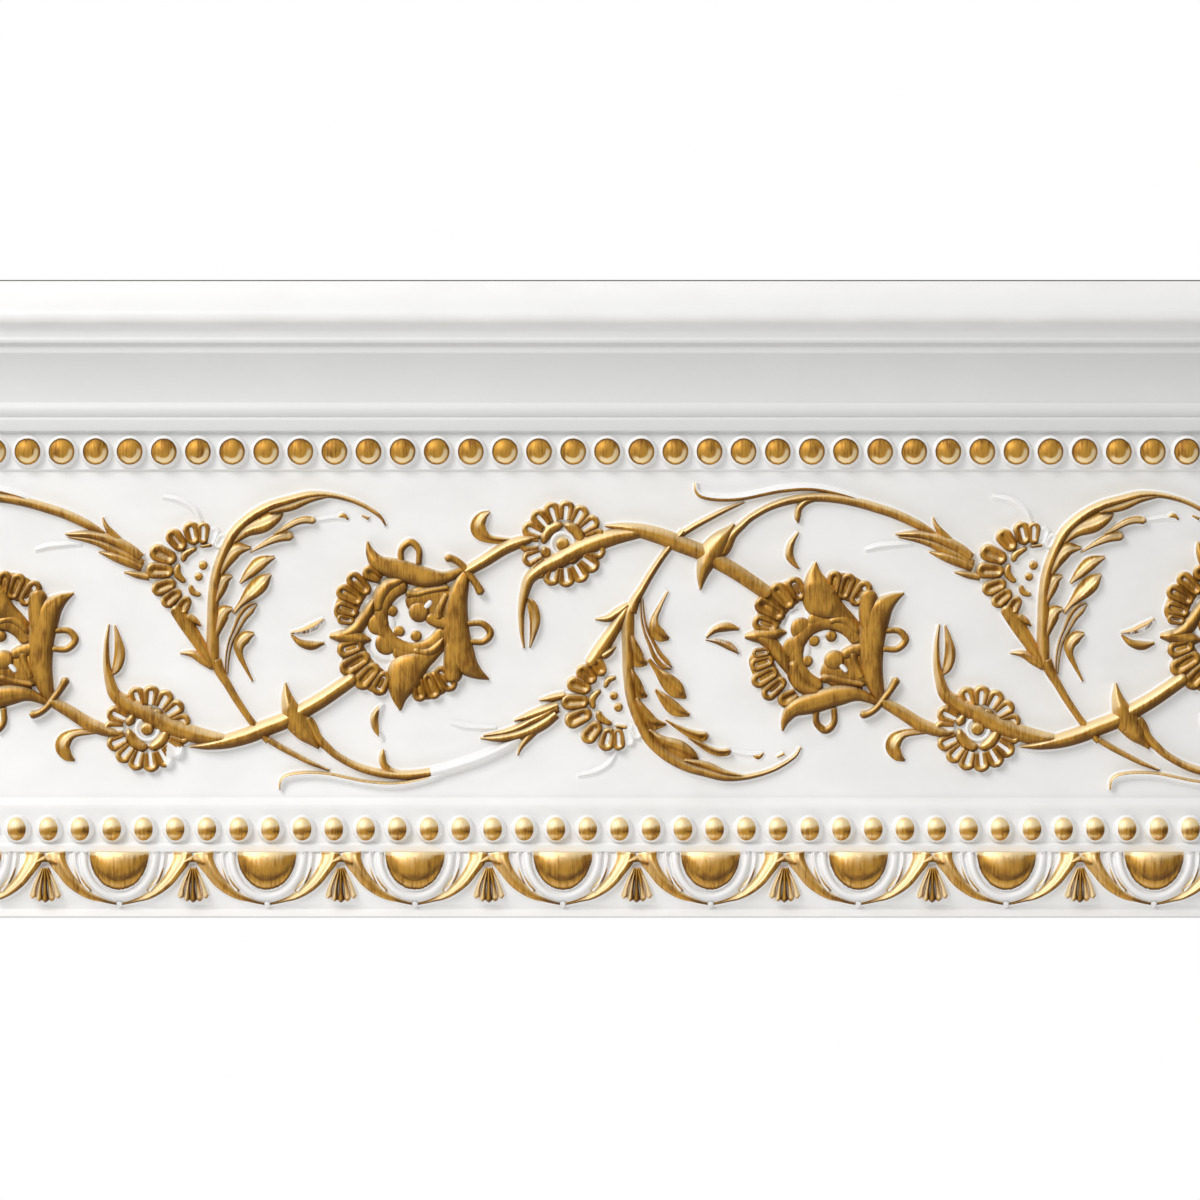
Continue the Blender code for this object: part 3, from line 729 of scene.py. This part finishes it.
def draw_feathered_leaf(bm):
    sweep(bm, [(22.6, 11, 1.8), (21.9, 6.4, 3.8), (21.7, 1.3, 4.1), (21.8, -6, 3.9), (21.9, -12, 3.7),
               (22.8, -20, 3.5), (25.4, -27.8, 3.5), (29.1, -34.6, 3.5), (34.8, -39.8, 3.5), (41, -43.2, 3.3),
               (47.4, -45.2, 3.0), (53.9, -46.8, 2.7), (60.4, -46.9, 1.8), (67.1, -45.4, 1.5),
               (72.1, -43.3, 1.4), (77.1, -40, 1.1), (79.2, -36.8, 0.5)], folded, 3.1)
    for leaflet in INNER_LEAFLETS:
        sweep(bm, leaflet, cupped, 3.5)
    for leaflet in OUTER_LEAFLETS:
        sweep(bm, leaflet, cupped, 3.0, "vv" if leaflet[-1][2] < 1.5 else "vo")
    # The inner strand and the hooked leaf below it
    sweep(bm, [(26.3, 12.6, 1), (26.6, 7, 1.6), (27.6, 2, 1.9), (29.6, -2.5, 2.6), (31.6, -6.5, 3.5),
               (34, -9.2, 3.6), (36.4, -10.8, 0.8)], hollowed, 2.6, hollow_gilt=0.35)
    sweep(bm, [(35, 15, 0.5), (32.4, 10, 1.3), (30.6, 6, 2.2), (30.6, 2.6, 3.9), (32.6, 0.2, 4.2),
               (35.4, -0.9, 1)], cupped, 2.8)
    # Two touches of gold on the strand beyond the last leaflet
    sweep(bm, [(63.2, -39.3, 0.5), (65, -40.2, 1.6), (66.8, -38.8, 0.5)], rounded, 1.1, gilt=0.7)
    sweep(bm, [(71.2, -40.2, 0.5), (73.6, -39, 1.0)], rounded, 1.1, gilt=0.7)
    sweep(bm, [(56, -38.4, 0.4), (62, -39.4, 0.8), (66, -39, 0.4)], rounded, 0.9, gilt=0.12)


# %% [markdown]
# Each drawing is made once and copied for every repeat that shows, and every odd one is mirrored.
# On the real length the paint has missed or rubbed off in a few places, and those are taken out of
# the gilding afterwards.

# %% Repeat the drawings along the frieze
HALF_REPEAT = 138.0
FIRST_ROSETTE = 187.57
MIDDLE = 93.67
REPEATS = (-2, -1, 0, 1)
# Where the gold is missing: from x, y to x, y on the bench
BARE = {
    "tendrils": ((143.5, 40, 178, 60), (126.5, 58, 131, 74)),
    "rosettes": ((56, 48, 63, 57),),
}
KEPT_WHERE_BARE = 0.12


def repeated(name, draw):
    moves = []
    for number in REPEATS:
        turned = Matrix.Diagonal((1, -1 if number % 2 else 1, 1, 1))
        moves.append(shift(FIRST_ROSETTE + number * HALF_REPEAT, MIDDLE) @ turned)
    piece = set_out(carving(name, draw), name, moves)
    gilt = piece.data.attributes["gilt"].data
    for x0, y0, x1, y1 in BARE.get(name, ()):
        for vertex in piece.data.vertices:
            spot = vertex.co / MM
            if x0 < spot.x < x1 and y0 < spot.y < y1:
                gilt[vertex.index].value *= KEPT_WHERE_BARE
    return drape(piece)


rosettes = repeated("rosettes", draw_rosette)
palmettes = repeated("palmettes", draw_palmette)
stems = repeated("stems", draw_stems)
tendrils = repeated("tendrils", draw_tendrils)
half_flowers = repeated("half_flowers", draw_half_flower)
feathered_leaves = repeated("feathered_leaves", draw_feathered_leaf)
vine = [rosettes, palmettes, stems, tendrils, half_flowers, feathered_leaves]
print("vine faces:", {piece.name: len(piece.data.polygons) for piece in vine})

# %% [markdown]
# ## Egg and dart
# An egg hangs under the fillet in a white shell. A gilt bracket runs round the shell to the next
# one, and a small fan, the dart, stands between. The egg is a ball cut flat at its back and along
# the fillet, with a fold pressed in near its foot that sets a lip off from the belly.

# %% Model the eggs
EGG_PITCH = 49.1
FIRST_EGG = 40.33
EGG_TOP = 22.0  # the fillet that the egg hangs from
EGG_HALF = 10.4
EGG_DROP = 13.2  # from the fillet to the foot of the egg
EGG_RISE = 5.4
FOLD_DEPTH = 0.36  # share of its rise that the egg loses past the fold


def bowl(half, drop, turns=(180, 360), parts=10, top=EGG_TOP):
    """Points round the lower half of an oval that hangs from the fillet."""
    spots = []
    for part in range(parts + 1):
        turn = math.radians(turns[0] + (turns[1] - turns[0]) * part / parts)
        spots.append((half * math.cos(turn), top + drop * math.sin(turn)))
    return spots


def egg_reach(p):
    """How far out a point of the egg lies: 0 in the middle and 1 at its edge."""
    return math.hypot(p.x / EGG_HALF, p.y / EGG_DROP)


def past_fold(p):
    """How far a point of the egg lies below the fold, as a share of its height."""
    return math.hypot(p.x / (1.35 * EGG_HALF), p.y / EGG_DROP) - 0.62


def egg_painted_light(p):
    """Painted shade in brown along the fold and round the foot, and painted highlights on the lip and under
    the fillet.
    """
    fold = 0.42 * ramp(past_fold(p), -0.2, 0.02)
    lip = 0.75 * ramp(past_fold(p), 0.06, 0.14)
    top = 0.35 * ramp(p.y, -0.2 * EGG_DROP, 0.0)
    foot = 1.2 * ramp(egg_reach(p), 0.88, 0.94) * ramp(-p.y, 0.0, 0.4 * EGG_DROP)
    return fold - 0.3 - lip - top + foot


def egg_row():
    bpy.ops.object.select_all(action="DESELECT")
    bpy.ops.mesh.primitive_uv_sphere_add(segments=48, ring_count=24, radius=MM)
    egg = bpy.context.object
    pick_vertices(egg, lambda p: True)
    bpy.ops.transform.resize(value=(EGG_HALF, EGG_DROP, EGG_RISE))
    bpy.ops.mesh.bisect(plane_co=(0, 0, -SUNK * MM), plane_no=(0, 0, -1), clear_outer=True, use_fill=True)
    bpy.ops.mesh.select_all(action="SELECT")
    bpy.ops.mesh.bisect(plane_co=(0, 0, 0), plane_no=(0, 1, 0), clear_outer=True, use_fill=True)
    bpy.ops.object.mode_set(mode="OBJECT")
    for vertex in egg.data.vertices:
        past = ramp(past_fold(vertex.co / MM), 0.0, 0.14)
        if vertex.co.z > 0:
            vertex.co.z *= 1 - FOLD_DEPTH * past * past * (3 - 2 * past)
    mark_gilt(egg, lambda p: BARE_GILT + 9 * (0.95 - egg_reach(p)))
    # Painted light and shade on the egg, lit from above.
    mark_painted_shading(egg, (-0.15, 1.0, 0.0), egg_painted_light)
    places = row_places(FIRST_EGG - EGG_PITCH, EGG_PITCH, EGG_HALF)
    eggs = drape(set_out(egg, "eggs", [shift(place, EGG_TOP) for place in places]))
    bpy.ops.object.shade_smooth_by_angle(angle=math.radians(40))
    return eggs


# %% [markdown]
# The shell, the brackets and the dart are strokes again, drawn from the middle of an egg. One
# repeat holds the two brackets that reach under its egg and the dart on its right. A white knob
# covers the place where the thin tails of the brackets meet.

# %% Draw the shell, the brackets and the dart
DART_TOP = 16.8
# The ribs of the dart: how far each leans, and its length
RIBS = ((-1, 10.2), (-0.5, 11.2), (0, 11.6), (0.5, 11.2), (1, 10.2))


def draw_shell(bm):
    sweep(bm, [(x, y, 2.4) for x, y in bowl(12.0, 15.0)], rounded, 2.2, gilt=0.0)
    for side in (-1, 1):
        rim = [(side * x, y, 0.9) for x, y in bowl(14.9, 17.4, (312, 360), 6)]
        sweep(bm, rim, rounded, 1.6, gilt=0.0)
    dot(bm, 0.0, 4.8, 1.0, 1.7, gilt=0.0)


def draw_brackets(bm):
    half = EGG_PITCH / 2
    for side in (-1, 1):
        wing = [(half - 3.5, 22.0, 6.2), (half - 3.9, 19.4, 5.6), (half - 5.7, 16.2, 4.4),
                (half - 8.3, 12.6, 3.9), (half - 11.6, 9.6, 3.2), (half - 15.2, 7.3, 2.2),
                (half - 18.4, 6.1, 1.2), (half - 21, 5.3, 0.8), (0.9, 4.7, 0.6)]
        sweep(bm, [(side * x, y, width) for x, y, width in wing], cupped, 2.6)
        thin = [(14.6, 19.4, 0.4), (14.1, 15.6, 0.9), (12.3, 12.3, 1.3), (9.2, 9.2, 0.4)]
        sweep(bm, [(side * x, y, width) for x, y, width in thin], rounded, 1.5, gilt=0.8)
    sweep(bm, [(half - 3.8, 18.2, 0.8), (half, 19.8, 2.0), (half + 3.8, 18.2, 0.8)], rounded, 3.0)
    for lean, length in RIBS:
        tip = (half + lean * 4.4, DART_TOP - length)
        middle = (half + lean * 3.2, DART_TOP - length * 0.55)
        sweep(bm, [(half + 0.8 * lean, DART_TOP, 0.8), (*middle, 1.2), (*tip, 2.2)], rounded, 2.2, "vo")


def bracket_painted_light(p):
    """Painted light on the brackets: a painted highlight on the wings and the outer ribs of the dart, and
    painted shade in brown on its middle rib and the wings' tails.
    """
    off = abs(p.x - EGG_PITCH / 2)
    on_dart = off < 1.6 + 0.46 * (DART_TOP + 0.2 - p.y)
    if on_dart:
        return 0.3 - 1.1 * ramp(off, 0.9, 2.6)
    return 0.6 - 0.85 * ramp(abs(p.x), 3.5, 9)


def repeated_row(name, draw, painted_light):
    # Painted light and shade on the row's strokes, from their facing and from the pattern passed in.
    first = mark_painted_shading(carving(name, draw), more=painted_light)
    places = row_places(FIRST_EGG - EGG_PITCH, EGG_PITCH, EGG_PITCH)
    return drape(set_out(first, name, [shift(place) for place in places]))


eggs = egg_row()
egg_shells = repeated_row("egg_shells", draw_shell, lambda p: 0.0)
brackets_and_darts = repeated_row("brackets_and_darts", draw_brackets, bracket_painted_light)
print("egg and dart faces:", len(eggs.data.polygons), len(egg_shells.data.polygons))

# %% [markdown]
# ## Saw the ends and lay the pieces on the slope
# The ornament runs past both ends of the length. A bisect cuts it off square and closes the cut, as a saw
# does. The vine's painted light and shade is marked now, because a mirrored copy is still lit from the same
# side. Then the bench's matrix lays everything on the slope.

# %% Saw and lay
def saw_off(piece):
    for end, facing in ((0.0, -1), (LENGTH, 1)):
        alone(piece)
        bpy.ops.object.mode_set(mode="EDIT")
        bpy.ops.mesh.select_all(action="SELECT")
        bpy.ops.mesh.bisect(
            plane_co=(end * MM, 0, 0), plane_no=(facing, 0, 0), clear_outer=True, use_fill=True)
        bpy.ops.object.mode_set(mode="OBJECT")


def lay_on_slope(piece):
    alone(piece)
    piece.matrix_world = TO_SLOPE
    bpy.ops.object.transform_apply(location=True, rotation=True, scale=True)


ornament = [upper_beads, lower_beads, eggs, egg_shells, brackets_and_darts] + vine
for piece in ornament:
    saw_off(piece)
for piece in vine:
    # The palmettes are made browner all over: more painted shade and less painted highlight on their broad
    # petals
    browner = 0.22 if piece is palmettes else 0.0
    mark_painted_shading(piece, more=lambda p: browner)
for piece in ornament + [body]:
    lay_on_slope(piece)
body.name = "moulding_body"
print("pieces laid on the slope:", len(ornament) + 1)

# %% [markdown]
# ## Paint
# A few helpers keep the paint recipes readable. Value wraps a number that varies over a surface, so
# that shader maths reads as ordinary sums.

# %% Shader helpers
class Value:
    """A shader output that can take part in sums."""

    def __init__(self, recipe, socket):
        self.recipe = recipe
        self.socket = socket

    def math(self, operation, *others):
        return self.recipe.node("ShaderNodeMath", {"operation": operation}, {
            number: value for number, value in enumerate((self, *others))})

    def __add__(self, other):
        return self.math("ADD", other)

    __radd__ = __add__

    def __mul__(self, other):
        return self.math("MULTIPLY", other)

    __rmul__ = __mul__

    def __sub__(self, other):
        return self.math("SUBTRACT", other)

    def __rsub__(self, other):
        return (self * -1.0) + other

    def between(self, low, high):
        """0 below low, 1 above high, and smooth between."""
        return self.recipe.node("ShaderNodeMapRange", {"interpolation_type": "SMOOTHSTEP"}, {
            "Value": self, "From Min": low, "From Max": high})


class Recipe:
    """A material and its nodes."""

    def __init__(self, name):
        self.material = bpy.data.materials.new(name)
        self.material.use_nodes = True
        self.tree = self.material.node_tree
        self.shader = self.tree.nodes["Principled BSDF"]

    def set(self, socket, value):
        if isinstance(value, Value):
            self.tree.links.new(value.socket, socket)
        else:
            socket.default_value = value

    def node(self, kind, settings, sockets, output=0):
        node = self.tree.nodes.new(kind)
        for name, value in settings.items():
            setattr(node, name, value)
        for name, value in sockets.items():
            self.set(node.inputs[name], value)
        return Value(self, node.outputs[output])

    def place(self, scale):
        """Object coordinates moved back to the bench's x, y and z, and stretched."""
        spot = self.node("ShaderNodeTexCoord", {}, {}, "Object")
        turned = self.node("ShaderNodeMapping", {"vector_type": "TEXTURE"}, {
            "Vector": spot, "Location": TO_SLOPE.to_translation(), "Rotation": TO_SLOPE.to_euler()})
        return self.node("ShaderNodeVectorMath", {"operation": "MULTIPLY"}, {0: turned, 1: scale})

    def noise(self, scale, size=1.0, detail=3.0):
        """Noise from 0 to 1. scale is its repeats to the metre along, up and out of the face."""
        return self.node("ShaderNodeTexNoise", {}, {
            "Vector": self.place(scale), "Scale": size, "Detail": detail})

    def blend(self, factor, first, second):
        node = self.tree.nodes.new("ShaderNodeMix")
        node.data_type = "RGBA"
        self.set(node.inputs["Factor"], factor)
        self.set(node.inputs["A"], first)
        self.set(node.inputs["B"], second)
        return Value(self, node.outputs["Result"])

    def bump(self, height, strength, distance):
        return self.node("ShaderNodeBump", {}, {"Height": height, "Strength": strength, "Distance": distance})

    def finish(self, colour, roughness, metallic, normal):
        self.set(self.shader.inputs["Base Color"], colour)
        self.set(self.shader.inputs["Roughness"], roughness)
        self.set(self.shader.inputs["Metallic"], metallic)
        self.set(self.shader.inputs["Normal"], normal)
        return self.material


# %% [markdown]
# ### White satin paint
# The casting is painted a warm white. The colour hardly varies, but a faint grain in the gloss and the
# surface keeps it from looking like plastic. Shade is painted in grey on the cove and the mouldings round it,
# and a little on the foot of the fascia. A thin dark line is painted along the edge that meets the ceiling,
# as a painted shadow.

# %% Mix the white paint
WHITE = (0.87, 0.862, 0.85, 1)
GREYER_WHITE = (0.83, 0.818, 0.803, 1)
# The grey of the painted shade, and the near black of the painted shadow along the top edge.
SHADE_GREY = (0.715, 0.718, 0.708, 1)
EDGE_SHADOW_DARK = (0.09, 0.085, 0.08, 1)


def band(height, rise, fall):
    """1 between two heights. rise and fall say where its soft edges start and end."""
    return height.between(rise[0] * MM, rise[1] * MM) * (1 - height.between(fall[0] * MM, fall[1] * MM))


def white_paint():
    paint = Recipe("white_paint")
    drift = paint.noise((40, 60, 60), detail=3.0)
    grain = paint.noise((1500, 1500, 1500), detail=2.0)
    up_face = paint.node("ShaderNodeSeparateXYZ", {}, {"Vector": paint.place((1, 1, 1))}, "Y")
    # A painted shadow: a thin dark line along the top edge.
    edge_shadow = up_face.between((FACE - 0.62) * MM, (FACE - 0.42) * MM)
    # Painted shade: grey over the cove band, and a little over the fascia.
    cove_shade = band(up_face, (154, 162), (194, 197))
    fascia_shade = band(up_face, (199, 202), (203, 211))
    clean = paint.blend(drift.between(0.3, 0.7), GREYER_WHITE, WHITE)
    white_with_painted_shade = paint.blend((cove_shade + 0.35 * fascia_shade) * (0.7 + 0.6 * drift), clean, SHADE_GREY)
    return paint.finish(
        colour=paint.blend(edge_shadow, white_with_painted_shade, EDGE_SHADOW_DARK),
        roughness=0.42 + 0.12 * grain,
        metallic=0.0,
        normal=paint.bump(grain, 0.16, 0.00012),
    )


white = white_paint()

# %% [markdown]
# ### Gold paint brushed over the white
# The brush was drawn up the face, so the gold is streaked that way and thins out where the relief falls off.
# The mask adds streaks to the gilt numbers, which gives the edge of the gold a broken, brushed look. Light
# and shade are painted into the gold: brown as painted shade where the surface turns from the light, and the
# palest gold as a painted highlight where it turns towards it. Gold paint is only partly metallic, since its
# flakes lie in a clear binder.

# %% Mix the gold paint
# The brown is painted shade, and the pale gold a painted highlight.
SHADE_BROWN = (0.122, 0.051, 0.006, 1)
DEEP_GOLD = (0.21, 0.083, 0.008, 1)
GOLD = (0.54, 0.28, 0.04, 1)
HIGHLIGHT_GOLD = (0.95, 0.76, 0.44, 1)


def gold_paint():
    paint = Recipe("gold_paint")
    gilt = paint.node("ShaderNodeAttribute", {"attribute_name": "gilt"}, {}, "Fac")
    # The painted light and shade marked on each vertex.
    painted_shading = paint.node("ShaderNodeAttribute", {"attribute_name": "painted_shading"}, {}, "Fac")
    streaks = paint.noise((1300, 130, 130), detail=4.0)
    hairs = paint.noise((3600, 320, 320), detail=2.0)
    patches = paint.noise((240, 150, 150), detail=2.0)
    gold = (gilt + 0.4 * (streaks - 0.5) + 0.3 * (patches - 0.5)).between(0.36, 0.56)
    # Streaks and patches vary the gold, with a little painted shade.
    streaked_and_shaded = (0.35 * streaks + 0.25 * hairs + 0.4 * patches - 0.12 * painted_shading).between(0.33, 0.57)
    warm = paint.blend(streaked_and_shaded, DEEP_GOLD, GOLD)
    # Painted highlight: the palest gold where the surface turns towards the light.
    towards = (0.4 * streaks - painted_shading).between(0.28, 0.84)
    with_painted_highlight = paint.blend(towards * 0.9, warm, HIGHLIGHT_GOLD)
    # Painted shade: brown where the surface turns from the light.
    painted_shade = (0.3 * streaks + painted_shading).between(0.34, 0.98)
    with_painted_shade = paint.blend(painted_shade * 0.92, with_painted_highlight, SHADE_BROWN)
    return paint.finish(
        colour=paint.blend(gold, WHITE, with_painted_shade),
        roughness=0.46 + 0.1 * hairs * gold,
        metallic=0.65 * gold,
        normal=paint.bump((0.6 * streaks + 0.4 * hairs) * gold, 0.3, 0.0002),
    )


gold = gold_paint()

# %% [markdown]
# Each piece is given its paint and the body that it rides on. The plain body takes the place of the solid
# model, and the ornament lies on it.

# %% Dress the pieces
def dress(piece, material):
    piece.data.materials.clear()
    piece.data.materials.append(material)
    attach(piece, "root")


dress(body, white)
dress(egg_shells, white)
for piece in ornament:
    if piece is not egg_shells:
        dress(piece, gold)
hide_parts("crown_moulding")
triangles = {}
for piece in ornament + [body]:
    triangles[piece.name] = sum(len(face.vertices) - 2 for face in piece.data.polygons)
print("triangles:", triangles, "in all", sum(triangles.values()))

# %% [markdown]
# ## Studio
# The moulding hangs high, as over a room, and a pale floor lies below. The camera looks squarely
# at the sloping face from far off. The key light stands up and to the left of the face, and draws
# the relief. A low strip close under the foot lights the egg and dart, which the key only grazes.
# The room fills the shadows, and is brighter up and to the left, so that the gold has something to
# mirror.

# %% Floor, light and camera
def on_slope(x, y, z):
    return TO_SLOPE @ (Vector((x, y, z)) * MM)


def add_floor(height):
    bpy.ops.object.select_all(action="DESELECT")
    bpy.ops.mesh.primitive_plane_add(size=12, location=(0, 0, height))
    floor = bpy.context.object
    floor.name = "floor"
    bpy.ops.object.transform_apply(location=True, rotation=True, scale=True)
    paint = Recipe("floor_paint")
    shade = paint.noise((2, 2, 2))
    floor.data.materials.append(paint.finish(
        colour=paint.blend(shade, (0.78, 0.78, 0.775, 1), (0.82, 0.82, 0.815, 1)),
        roughness=0.7,
        metallic=0.0,
        normal=paint.bump(shade, 0.05, 0.001),
    ))


def add_light(name, aim, direction, distance, size, watts):
    """An area light that faces aim. direction is along, up and out of the face."""
    light = bpy.data.lights.new(name, "AREA")
    light.shape = "RECTANGLE"
    light.size, light.size_y = size
    light.energy = watts
    lamp = bpy.data.objects.new(name, light)
    lamp.visible_camera = False
    bpy.context.collection.objects.link(lamp)
    back = (TO_SLOPE.to_3x3() @ Vector(direction)).normalized()
    lamp.location = aim + back * distance
    lamp.rotation_euler = back.to_track_quat("Z", "Y").to_euler()


def add_camera(aim, distance, width):
    """A camera that looks squarely at the face, on which it sees the given width."""
    lens = bpy.data.cameras.new("camera")
    lens.sensor_width = 36
    lens.lens = 36 * distance / width
    camera = bpy.data.objects.new("camera", lens)
    bpy.context.collection.objects.link(camera)
    place = aim - on_slope(0, 0, 0) + on_slope(0, 0, distance / MM)
    camera.matrix_world = Matrix.Translation(place) @ TO_SLOPE.to_3x3().to_4x4()
    bpy.context.scene.camera = camera


def white_room(shown, dim, bright, towards):
    """A white room that is brighter towards one side, and evenly white where the camera sees it."""
    world = bpy.data.worlds.new("white_room")
    world.use_nodes = True
    bpy.context.scene.world = world
    nodes, links = world.node_tree.nodes, world.node_tree.links
    nodes["Background"].inputs["Color"].default_value = (1, 1, 1, 1)
    seen = nodes.new("ShaderNodeLightPath")
    direction = nodes.new("ShaderNodeTexCoord")
    facing = nodes.new("ShaderNodeVectorMath")
    facing.operation = "DOT_PRODUCT"
    facing.inputs[1].default_value = (TO_SLOPE.to_3x3() @ Vector(towards)).normalized()
    cast = nodes.new("ShaderNodeMapRange")
    cast.inputs["From Min"].default_value = -1
    cast.inputs["To Min"].default_value = dim
    cast.inputs["To Max"].default_value = bright
    strength = nodes.new("ShaderNodeMapRange")
    strength.inputs["To Max"].default_value = shown
    links.new(direction.outputs["Generated"], facing.inputs[0])
    links.new(facing.outputs["Value"], cast.inputs["Value"])
    links.new(seen.outputs["Is Camera Ray"], strength.inputs["Value"])
    links.new(cast.outputs["Result"], strength.inputs["To Min"])
    links.new(strength.outputs["Result"], nodes["Background"].inputs["Strength"])


SHOWN_MIDDLE = 105.7
FOOT_OF_FACE = 8.0
aim = on_slope(LENGTH / 2, SHOWN_MIDDLE, GROUND)
low_aim = on_slope(LENGTH / 2, FOOT_OF_FACE, GROUND)
add_floor(height=-2.0)
add_camera(aim, distance=2.4, width=0.399)
add_light("key", aim, (-0.5, 0.62, 0.65), distance=2.6, size=(1.1, 1.1), watts=38)
add_light("low_strip", low_aim, (0.0, -0.85, 0.55), distance=0.5, size=(1.0, 0.12), watts=0.8)
white_room(shown=1.0, dim=0.22, bright=0.86, towards=(-0.7, 0.55, 0.1))
bpy.context.scene.view_settings.view_transform = "Standard"
